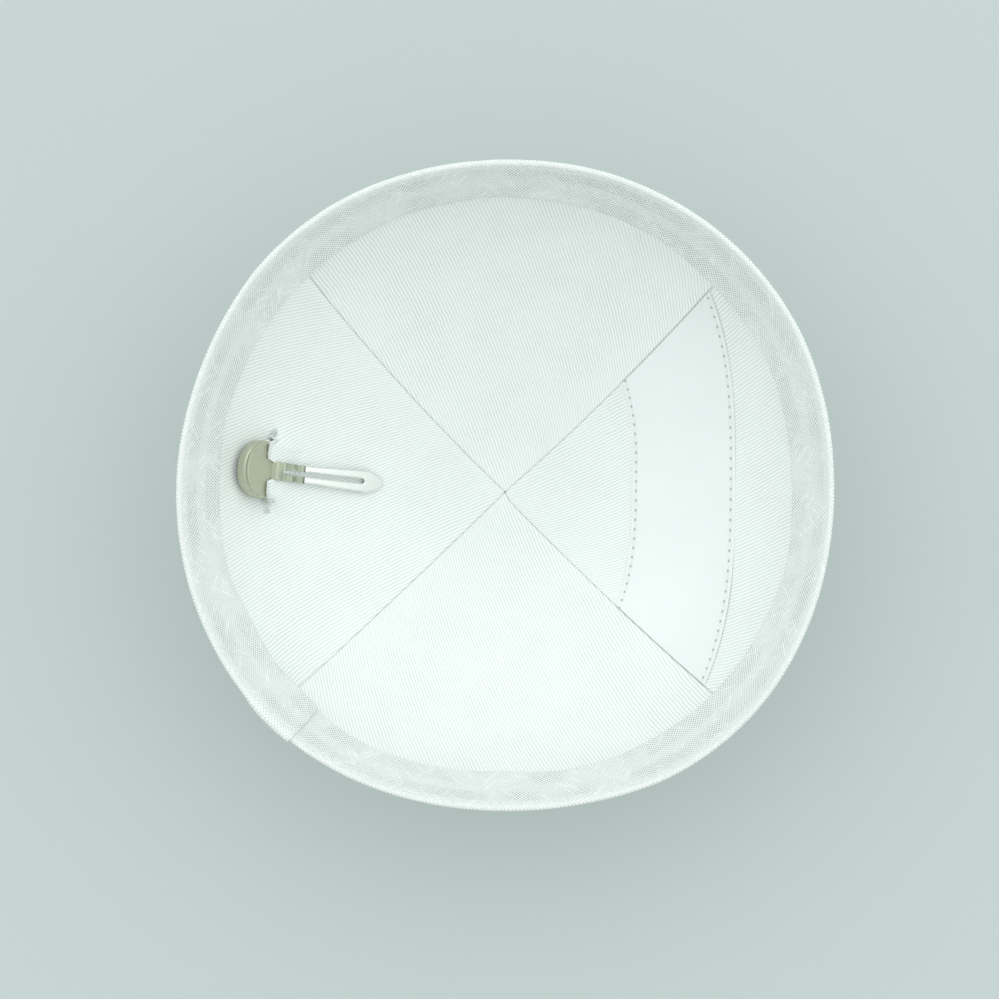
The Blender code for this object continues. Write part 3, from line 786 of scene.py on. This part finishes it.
def tears(aside, seed):
    """Short uneven tears of the flap's edge, at both sides of the strip's neck."""
    fine = 0.42 * MM * ripple(aside, 0.0, 0.55 * MM, seed)
    coarse = 0.25 * MM * ripple(aside, 0.0, 1.6 * MM, seed)
    beside_neck = smooth_step(abs(aside), 3.0 * MM, 3.6 * MM)
    return (fine + coarse) * beside_neck * fade(abs(aside), SLIT_HALF_LENGTH - 0.8 * MM, SLIT_HALF_LENGTH)


def slit_shares(first, last):
    """Shares across the slit gore, crowded where the slit and the clip are."""
    middle = (CLIP_AZIMUTH - first) / (last - first)
    shares, place = [], 0.0
    while True:
        near = 1.0 - smooth_step(abs(place - middle), 0.085, 0.17)
        place += 0.0105 - 0.0085 * near
        if place > 0.995:
            return shares
        shares.append(place)


def slit_rows():
    """Rows of the slit gore, as (band, share of it): below the slit, over the flap, and above."""
    shares = {
        "crown": spread(0.0, 1.0, 46)[:-1],
        "flap": spread(0.0, 0.9, 24) + [0.93, 0.96, 0.98, 1.0],
        "above": spread(0.0, 0.12, 4)[:-1] + spread(0.12, 1.0, 22),
    }
    return [(band, share) for band in shares for share in shares[band]]


def add_slit_gore(prefix, gore, material, seed):
    """The lining gore that the clip is tucked into: cut along a short ragged slit, and lifted below it."""
    name, first, last = gore
    inner_shares = slit_shares(first, last)
    rows = slit_rows()
    flap_start = SLIT_UPPER - FLAP_BAND
    limits = {
        "crown": (CROWN_TIP_RADIUS, flap_start),
        "flap": (flap_start, SLIT_UPPER),
        "above": (SLIT_UPPER, CUT_LENGTH),
    }
    near, far, cloth, torn = [], [], [], []
    for band, share in rows:
        start, end = limits[band]
        guide = start + (end - start) * share
        for azimuth, edge in gore_columns(min(guide, WALL_LENGTH), first, last, inner_shares):
            aside = radians(azimuth - CLIP_AZIMUTH) * CLIP_RADIUS
            length = guide
            if band == "flap":
                end = slit_edge(aside) + tears(aside, seed) * smooth_step(share, 0.9, 1.0)
                length = flap_start + (end - flap_start) * share
            elif band == "above" and share == 0.0:
                length = guide + 0.03 * MM
            u, v = gore_cloth(length, azimuth, name, first, last)
            offset = unevenness(u, v, edge, seed) + seam_dip(edge)
            if band == "flap":
                lift = flap_lift(length, azimuth)
                held = smooth_step(lift, 0.0, 1.0 * MM)
                offset = offset * (1.0 - held) - lift - rim_ease(length, azimuth) * held
            near.append(layer_point(length, azimuth, offset))
            far.append(layer_point(length, azimuth, offset + LINING_THICKNESS))
            cloth.append((u, v, edge))
            torn.append(abs(aside) < SLIT_HALF_LENGTH)
    columns = len(near) // len(rows)
    lip = max(index for index, (band, _) in enumerate(rows) if band == "flap")
    faces = [face for face in grid_faces(len(rows), columns)
             if not (face[0] // columns == lip and (torn[face[0]] or torn[face[1]]))]
    return make_sheet(prefix + name, near, far, faces, material, cloth)


def tape_section(width):
    """Stations across the folded tape: (share, past the panels' edge, visible offset, hidden offset)."""
    inner = FOLD_RADIUS - TAPE_THICKNESS
    rows = []
    for share in INNER_SHARES:
        past = -width + (width + TAPE_PAST) * share
        visible = TAPE_INNER + TAPE_EDGE_ROUNDING * fade(share, 0.0, 0.03)
        rows.append((share, past, visible, TAPE_MIDDLE - inner))
    for step in range(1, FOLD_STEPS):
        turn = pi * step / FOLD_STEPS
        past, rise = sin(turn), cos(turn)
        hidden = (TAPE_PAST + inner * past, TAPE_MIDDLE - inner * rise)
        visible = TAPE_MIDDLE - FOLD_RADIUS * rise
        rows.append((1.0 + step * 0.01, TAPE_PAST + FOLD_RADIUS * past, visible, hidden))
    for share in OUTER_SHARES:
        past = TAPE_PAST - (TAPE_OUTER_LEG + TAPE_PAST) * share
        visible = TAPE_OUTER - TAPE_EDGE_ROUNDING * smooth_step(share, 0.97, 1.0)
        rows.append((OUTER_START + share, past, visible, TAPE_MIDDLE + inner))
    return rows


def tape_point(past, azimuth, offset, away):
    """Point of the tape; away lifts it off the rim."""
    if past <= TAPE_PAST + 1e-9:
        return layer_point(WALL_LENGTH + past, azimuth, offset + copysign(away, offset - TAPE_MIDDLE))
    centre = Vector((past - TAPE_PAST, offset - TAPE_MIDDLE))
    raised = centre + centre.normalized() * away
    normal, upward = wall_frame(WALL_LENGTH, azimuth)
    base = layer_point(WALL_LENGTH + TAPE_PAST, azimuth, TAPE_MIDDLE)
    return base + upward * raised.x + normal * raised.y


def leg_share(share):
    """0 at a leg's cut edge and 1 at the fold, on both legs."""
    return min(share, 1.0) if share < OUTER_START else OUTER_START + 1.0 - share


def add_tape(material):
    """Bias tape folded over the rim, with its cut end lying over its start."""
    near, far, cloth = [], [], []
    lap = degrees(LAP_LENGTH / RIM_RADIUS)
    start, end = LAP_AZIMUTH - lap, LAP_AZIMUTH + 360.0
    stations = spread(start, end, TAPE_COLUMNS)
    for azimuth in stations:
        lift = LAP_RISE * smooth_step(azimuth, end - lap - 5.0, end - lap)
        arc = radians(azimuth) * RIM_RADIUS
        for share, past, visible, hidden in tape_section(round_value(TAPE_WIDTHS, azimuth) * MM):
            round_fold = (TAPE_OUTER - TAPE_INNER) * min(max(share - 1.0, 0.0) * 8.0, 1.0)
            wave = 0.16 * MM * ripple(arc, share * 0.02, 9.0 * MM, 1.3) * fade(share, 0.0, 0.25)
            swell = 0.09 * MM * ripple(arc, past, 6.0 * MM, 4.1)
            slant = 0.9 * MM * (share - 0.5) ** 2 if azimuth == end else 0.0
            turn = azimuth - degrees(slant / RIM_RADIUS)
            swollen = visible + copysign(abs(swell), visible - TAPE_MIDDLE)
            near.append(tape_point(past + wave, turn, swollen, lift))
            back, level = hidden if isinstance(hidden, tuple) else (past + wave, hidden)
            far.append(tape_point(back, turn, level, lift))
            cloth.append((arc, past + round_fold, leg_share(share)))
    faces = grid_faces(len(stations), len(near) // len(stations))
    return make_sheet("rim_tape", near, far, faces, material, cloth)


def label_edges(reach):
    """Lengths along the wall of the ribbon's inner and outer edge, from -1 at its lower end to 1."""
    outer_rise = LABEL_UPPER_RISE if reach > 0.0 else LABEL_LOWER_RISE
    inner = LABEL_INNER_EDGE + LABEL_INNER_RISE * reach ** 2
    return inner, LABEL_INNER_EDGE + LABEL_WIDTH + outer_rise * reach ** 2


def add_label(material):
    """Satin ribbon laid across the right gore, its ends tucked into both seams."""
    _, first, last = GORES[0]
    near, far, cloth = [], [], []
    rows = [0.0, 0.004, 0.012, 0.025, 0.04, 0.055, 0.075] + spread(0.1, 0.9, 34)
    rows += [0.925, 0.945, 0.96, 0.975, 0.988, 0.996, 1.0]
    columns = spread(-1.0, 1.0, 110)
    for share in rows:
        for reach in columns:
            inner, outer = label_edges(reach)
            width = outer - inner
            length = inner + width * share
            radius, _ = profile_at(length)
            gap = degrees(0.10 * MM / radius)
            low, high = seam_azimuth(first, length) + gap, seam_azimuth(last, length) - gap
            azimuth = low + (high - low) * 0.5 * (reach + 1.0)
            from_edge = min(share, 1.0 - share) * width
            from_seam = (1.0 - abs(reach)) * 0.5 * radians(last - first) * radius
            u = radians(azimuth) * radius
            sunk = 0.16 * MM * exp(-((from_edge - STITCH_INSET) / (0.5 * MM)) ** 2)
            rounding = LABEL_ROUNDING * fade(from_edge, 0.0, 0.35 * MM)
            tuck = 0.45 * MM * fade(from_seam, 0.0, 1.1 * MM)
            dent = 0.21 * MM * exp(-((reach - 0.5) / 0.13) ** 2 - ((share - 0.45) / 0.3) ** 2)
            swell = 0.06 * MM * ripple(u, length, 14.0 * MM, 8.8) * smooth_step(from_edge, 0.5 * MM, 4.0 * MM)
            offset = min(-LABEL_LIFT + sunk + rounding + tuck + dent + swell, -0.02 * MM)
            thickness = LABEL_THICKNESS * (1.0 - 0.5 * rounding / LABEL_ROUNDING)
            near.append(layer_point(length, azimuth, offset - thickness))
            far.append(layer_point(length, azimuth, offset))
            cloth.append((u, length, from_edge - STITCH_INSET))
    return make_sheet("satin_label", near, far, grid_faces(len(rows), len(columns)), material, cloth)


def add_label_stitches(material):
    """Two rows of short machine stitches, each lying in its own dent."""
    _, first, last = GORES[0]
    paths = []
    for edge in (0, 1):
        for index in range(-22, 23):
            points = []
            for share in spread(0.16, 0.84, 6):
                arc = (index + share) * STITCH_PITCH
                length = LABEL_INNER_EDGE + edge * LABEL_WIDTH
                for _ in range(6):
                    radius, _ = profile_at(length)
                    low, high = seam_azimuth(first, length), seam_azimuth(last, length)
                    reach = 2.0 * (degrees(arc / radius) - low) / (high - low) - 1.0
                    ends = label_edges(max(min(reach, 1.0), -1.0))
                    length = ends[edge] + (STITCH_INSET if edge == 0 else -STITCH_INSET)
                azimuth = degrees(arc / radius)
                if abs(reach) > 0.985:
                    break
                arch = 0.09 * MM * sin(pi * (share - 0.16) / 0.68)
                level = STITCH_SINK - LABEL_LIFT - LABEL_THICKNESS - arch
                points.append(layer_point(length, azimuth, level))
            if len(points) == 7:
                paths.append(points)
    return join_tubes("label_stitches", paths, 0.085 * MM, material)


def add_button(material):
    """Pressed button: rolled foot, rounded side, groove and stepped top, open towards the cloth."""
    r, h, w = BUTTON_RADIUS, BUTTON_HEIGHT, BUTTON_WALL
    section = [(0.0, h), (r - 0.75 * w, h), (r - 0.62 * w, h - 0.08 * w), (r - 0.6 * w, h - 0.35 * w),
               (r - 0.55 * w, h - 0.62 * w), (r - 0.36 * w, h - 0.78 * w), (r - 0.16 * w, h - 1.0 * w)]
    section += [(r - 0.16 * w * (1.0 - sin(turn)), 0.5 * h - 0.25 * w + (0.5 * h - 0.75 * w) * cos(turn))
                for turn in spread(0.35, pi - 0.35, 10)]
    section += [(r - 0.2 * w, 0.25 * w), (r - 0.45 * w, 0.05 * w), (r - 0.8 * w, 0.0), (r - 1.5 * w, 0.0),
                (r - 1.6 * w, 0.2 * w), (r - 1.5 * w, 0.8 * w), (r - 1.5 * w, h - 1.4 * w),
                (r - 1.9 * w, h - w), (0.0, h - w)]
    builder = bmesh.new()
    outline = [builder.verts.new((radius, 0.0, height)) for radius, height in section]
    edges = [builder.edges.new(pair) for pair in zip(outline, outline[1:])]
    bmesh.ops.spin(builder, geom=outline + edges, axis=(0.0, 0.0, 1.0), cent=(0.0, 0.0, 0.0),
                   angle=2.0 * pi, steps=96, use_merge=True)
    bmesh.ops.remove_doubles(builder, verts=builder.verts, dist=0.002 * MM)
    vertices = [CLIP.point(*vertex.co) for vertex in builder.verts]
    for index, vertex in enumerate(builder.verts):
        vertex.index = index
    faces = [tuple(vertex.index for vertex in face.verts) for face in builder.faces]
    builder.free()
    button = make_object("clip_button_pressed", vertices, faces, material)
    button.data.set_sharp_from_angle(angle=radians(30.0))
    return button


def strip_path():
    """The strip's underside from the head's far edge to the blade's tip, as (down, height) corners."""
    crease = NECK_RAMP + STEM_LENGTH
    tip = (crease + BLADE_LENGTH * cos(BLADE_BEND), STEM_LEVEL + BLADE_LENGTH * sin(BLADE_BEND))
    return [Vector(pair) for pair in ((-HEAD_RADIUS, HEAD_LEVEL), (NECK_REACH, HEAD_LEVEL),
                                      (NECK_REACH + NECK_RAMP, STEM_LEVEL), (crease, STEM_LEVEL), tip)]


def path_at(path, distance):
    """Point and upward normal of the strip's path at a distance along it."""
    walked = 0.0
    for start, end in zip(path, path[1:]):
        span = (end - start).length
        if distance <= walked + span or end is path[-1]:
            direction = (end - start) / span
            return start + direction * (distance - walked), Vector((-direction.y, direction.x))
        walked += span


def strip_half_width(distance, marks):
    """Half the strip's width at a distance from the head's far edge."""
    head, neck, crease, tip = marks
    narrow, broad = 0.5 * STEM_WIDTH, 0.5 * BLADE_WIDTH
    if distance <= head:
        back = HEAD_RADIUS - distance
        return sqrt(max(HEAD_RADIUS ** 2 - back ** 2, 0.0))
    fillet = narrow + 1.5 * MM * (1.0 - sin(0.5 * pi * min((distance - head) / (1.3 * MM), 1.0)))
    if distance <= crease:
        return fillet
    shoulder = tip - NOSE_LENGTH
    if distance <= shoulder:
        return narrow + (broad - narrow) * (distance - crease) / (shoulder - crease)
    share = (distance - shoulder) / NOSE_LENGTH
    rounding = max(share - 0.7, 0.0) / 0.3
    return broad * (1.0 - 0.6 * share) * sqrt(max(1.0 - rounding ** 2, 0.0))


def strip_half_slot(distance, start, end):
    """Half the slot's width, with round ends."""
    radius = 0.5 * SLOT_WIDTH
    if distance < start + radius:
        back = (start + radius - distance) / radius
        return radius * 0.85 * sqrt(max(1.0 - back ** 2, 0.0))
    if distance > end - radius:
        back = (distance - end + radius) / radius
        return radius * sqrt(max(1.0 - back ** 2, 0.0))
    return radius * (0.85 + 0.15 * (distance - start) / (end - start))


def strip_distances(head, neck, crease, tip, slot_start, slot_end):
    """Stations along the strip, close together at its round ends, slot and crease."""
    quarter = 0.5 * pi
    cap = 0.5 * SLOT_WIDTH
    distances = [HEAD_RADIUS * (1.0 - cos(turn)) for turn in spread(radians(4.0), quarter, 34)]
    distances += [HEAD_RADIUS + 0.5 * HEAD_REACH, head]
    distances += spread(head + 0.08 * MM, neck, 24) + spread(neck + 0.1 * MM, slot_start - 0.01 * MM, 22)
    distances += [slot_start + cap * (1.0 - cos(turn)) for turn in spread(0.15, quarter, 6)]
    distances += spread(slot_start + cap + 0.1 * MM, crease - 0.3 * MM, 52)
    distances += [crease - 0.15 * MM, crease, crease + 0.15 * MM, crease + 0.3 * MM]
    distances += spread(crease + 0.9 * MM, slot_end - cap - 0.1 * MM, 26)
    distances += [slot_end - cap + cap * sin(turn) for turn in spread(0.0, quarter - 0.15, 6)]
    distances += spread(slot_end + 0.01 * MM, tip - NOSE_LENGTH, 3)
    return distances + [tip - NOSE_LENGTH + NOSE_LENGTH * sin(turn)
                        for turn in spread(0.12, quarter - 0.05, 18)]


def strip_relief(distance, neck, crease):
    """Ridges of the stem, and the grooves of the crease and of the neck's foot."""
    on_stem = smooth_step(distance, neck + 1.0 * MM, neck + 1.6 * MM) if distance < crease else 0.0
    ridges = 0.045 * MM * sin(2.0 * pi * distance / (0.95 * MM))
    ridges += 0.05 * MM * ripple(distance, 0.0, 0.7 * MM, 2.2)
    fold = 0.14 * MM * exp(-((distance - crease) / (0.14 * MM)) ** 2)
    foot = 0.06 * MM * exp(-((distance - neck - 0.5 * MM) / (0.16 * MM)) ** 2)
    return ridges * on_stem - fold - foot


def add_strip(material):
    """Stamped strip: half-round head, filleted neck, ridged stem, crease and polished slotted blade."""
    path = strip_path()
    spans = [(end - start).length for start, end in zip(path, path[1:])]
    head, neck = HEAD_RADIUS + HEAD_REACH, spans[0] + spans[1]
    crease, tip = neck + spans[2], neck + spans[2] + spans[3]
    slot_start, slot_end = HEAD_RADIUS + SLOT_START, tip - SLOT_TO_TIP
    distances = strip_distances(head, neck, crease, tip, slot_start, slot_end)
    shares = (0.0, 0.03, 0.08, 0.25, 0.5, 0.75, 0.88, 0.94, 0.975, 1.0)
    across = [(-1.0, share) for share in reversed(shares)] + [(1.0, share) for share in shares]
    near, far, cloth, opened = [], [], [], []
    for distance in distances:
        low, normal = path_at(path, distance)
        half = strip_half_width(distance, (head, neck, crease, tip))
        inside = slot_start < distance < slot_end
        slot = strip_half_slot(distance, slot_start, slot_end) if inside else 0.3 * MM
        slot = min(max(slot, 0.04 * MM), 0.5 * half)
        opened.append(inside)
        relief = strip_relief(distance, neck, crease)
        finish = 1.0 if distance >= crease else 0.5 if distance > neck else 0.0
        for side, share in across:
            aside = slot + (half - slot) * share
            from_edge = half - aside
            if distance <= head:
                from_edge = HEAD_RADIUS - hypot(distance - HEAD_RADIUS, aside)
            crown = 0.13 * MM * fade(from_edge, 0.0, 0.3 * MM)
            crown += 0.07 * MM * fade(share, 0.0, 0.1) * inside
            high = low + normal * (STRIP_THICKNESS + relief - crown)
            near.append(CLIP.point(low.x, side * aside, low.y))
            far.append(CLIP.point(high.x, side * aside, high.y))
            cloth.append((distance - crease, side * aside, finish))
    faces = []
    for face in grid_faces(len(distances), len(across)):
        row, column = divmod(face[0], len(across))
        in_slot = column == len(shares) - 1 and opened[row] and opened[row + 1]
        if not in_slot:
            faces.append(face)
    strip = make_sheet("clip_strip_stamped", near, far, faces, material, cloth)
    strip.data.set_sharp_from_angle(angle=radians(35.0))
    return strip


def add_fray(material):
    """Loose threads along the slit's torn edge, and tufts past its two ends."""
    draw = random.Random(11)
    paths = []
    for index in range(150):
        in_tuft = index % 2 == 0
        reaches = (BUTTON_RADIUS, SLIT_HALF_LENGTH + 3.2 * MM) if in_tuft else (3.8 * MM, BUTTON_RADIUS)
        aside = draw.uniform(*reaches) * draw.choice((-1.0, 1.0))
        azimuth = CLIP_AZIMUTH + degrees(aside / CLIP_RADIUS)
        reach = draw.uniform(0.5, 1.7) * MM if in_tuft else draw.uniform(0.3, 0.8) * MM
        sway = draw.uniform(-0.9, 0.9) * MM
        rise = draw.uniform(0.3, 0.8) * MM
        start = slit_edge(aside) - 0.6 * reach + (draw.uniform(-0.7, 1.0) * MM if in_tuft else 0.0)
        points = []
        for share in spread(0.0, 1.0, 5):
            length = start + reach * share
            turn = azimuth + degrees(sway * share ** 2 / CLIP_RADIUS)
            lift = flap_lift(min(length, slit_edge(aside)), turn)
            ease = rim_ease(length, turn) * smooth_step(lift, 0.0, 1.0 * MM)
            arch = 0.1 * MM + rise * sin(pi * share)
            points.append(layer_point(length, turn, -lift - ease - arch))
        paths.append(points)
    return join_tubes("slit_fray", paths, 0.11 * MM, material)


def shell_offset(length):
    """Inner face of the outer cloth, which closes up on the lining towards the rim."""
    return SHELL_CROWN + (SHELL_RIM - SHELL_CROWN) * smooth_step(length / WALL_LENGTH, 0.30, 0.97)


def lining_offset(_):
    return 0.0


def gore_flat(first, last):
    """Flat width, length and area of one gore."""
    rows = spread(0.0, WALL_LENGTH, 200)
    angle = radians(last - first)
    area = sum(profile_at(length)[0] * angle for length in rows) * WALL_LENGTH / len(rows)
    return angle * RIM_RADIUS * 1.01, WALL_LENGTH + 2.0 * MM, area


def add_cap():
    linen = linen_material("linen_shell", 0.0, False)
    twill = twill_material()
    for index, gore in enumerate(GORES):
        name, first, last = gore
        width, length, area = gore_flat(first, last)
        shell = add_gore("shell_", gore, shell_offset, SHELL_THICKNESS, linen, 20.0 + index)
        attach(shell, "root")
        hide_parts("outer_panel_" + name)
        if name == "left":
            lining = add_slit_gore("lining_", gore, twill, 5.5 + index)
        else:
            lining = add_gore("lining_", gore, lining_offset, LINING_THICKNESS, twill, 5.5 + index)
        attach(lining, "root")
        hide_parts("lining_panel_" + name)
    tape = add_tape(linen_material("linen_tape", BIAS_ANGLE, True))
    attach(tape, "root")
    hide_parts("rim_binding")
    thread = thread_material()
    label = add_label(satin_material())
    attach(label, "root")
    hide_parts("label_ribbon")
    stitches = add_label_stitches(thread)
    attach(stitches, "root")
    fray = add_fray(thread)
    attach(fray, "root")


def add_clip():
    button = add_button(nickel_material())
    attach(button, "root")
    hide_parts("clip_button")
    strip = add_strip(steel_material())
    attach(strip, "root")
    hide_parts("clip_strip")


def add_floor():
    side = 3.0
    mesh = bpy.data.meshes.new("floor")
    corners = [(x * side, y * side, 0.0) for x, y in ((-1, -1), (1, -1), (1, 1), (-1, 1))]
    mesh.from_pydata(corners, [], [(0, 1, 2, 3)])
    mesh.materials.append(floor_material())
    floor = bpy.data.objects.new("floor", mesh)
    bpy.context.scene.collection.objects.link(floor)


def add_area_light(name, place, aim, size, power):
    data = bpy.data.lights.new(name, "AREA")
    data.shape = "DISK"
    data.size = size
    data.energy = power
    data.color = LIGHT_TINT
    light = bpy.data.objects.new(name, data)
    light.location = place
    light.rotation_euler = (Vector(aim) - Vector(place)).to_track_quat("-Z", "Y").to_euler()
    bpy.context.scene.collection.objects.link(light)


def add_lights():
    """Soft studio sky, dimmer overhead, near the floor and at the front, and a small lamp at the side."""
    world = bpy.data.worlds.new("studio")
    world.use_nodes = True
    tree = world.node_tree
    background = tree.nodes["Background"]
    background.inputs["Color"].default_value = (*LIGHT_TINT, 1.0)
    _, y, z = Wire(tree, tree.nodes.new("ShaderNodeTexCoord").outputs["Generated"]).parts()
    overhead = z.step(0.80, 0.97, 1.0, SKY_OVERHEAD)
    level = z.step(0.15, 0.50, SKY_LOW, 1.0)
    behind = y.step(-0.60, 0.15, SKY_FRONT, 1.0)
    feed(tree, background.inputs["Strength"], overhead * level * behind * SKY_STRENGTH)
    bpy.context.scene.world = world
    add_area_light("side", (1.0, 0.05, 0.38), (0.0, 0.0, 0.05), 0.5, SIDE_POWER)


def add_camera():
    data = bpy.data.cameras.new("photo_camera")
    data.sensor_width = SENSOR
    data.lens = SENSOR * FOCAL_PIXELS / PHOTO_SIDE
    camera = bpy.data.objects.new("photo_camera", data)
    back = CAMERA_ABOVE.normalized()
    right = (Vector((1.0, 0.0, 0.0)) - back * back.x).normalized()
    up = back.cross(right)
    rotation = Matrix((right, up, back)).transposed()
    camera.matrix_world = Matrix.Translation(CAMERA_TARGET + CAMERA_ABOVE) @ rotation.to_4x4()
    bpy.context.scene.collection.objects.link(camera)
    bpy.context.scene.camera = camera


bpy.context.scene.view_settings.view_transform = "Standard"
add_camera()
add_floor()
add_lights()
add_cap()
add_clip()
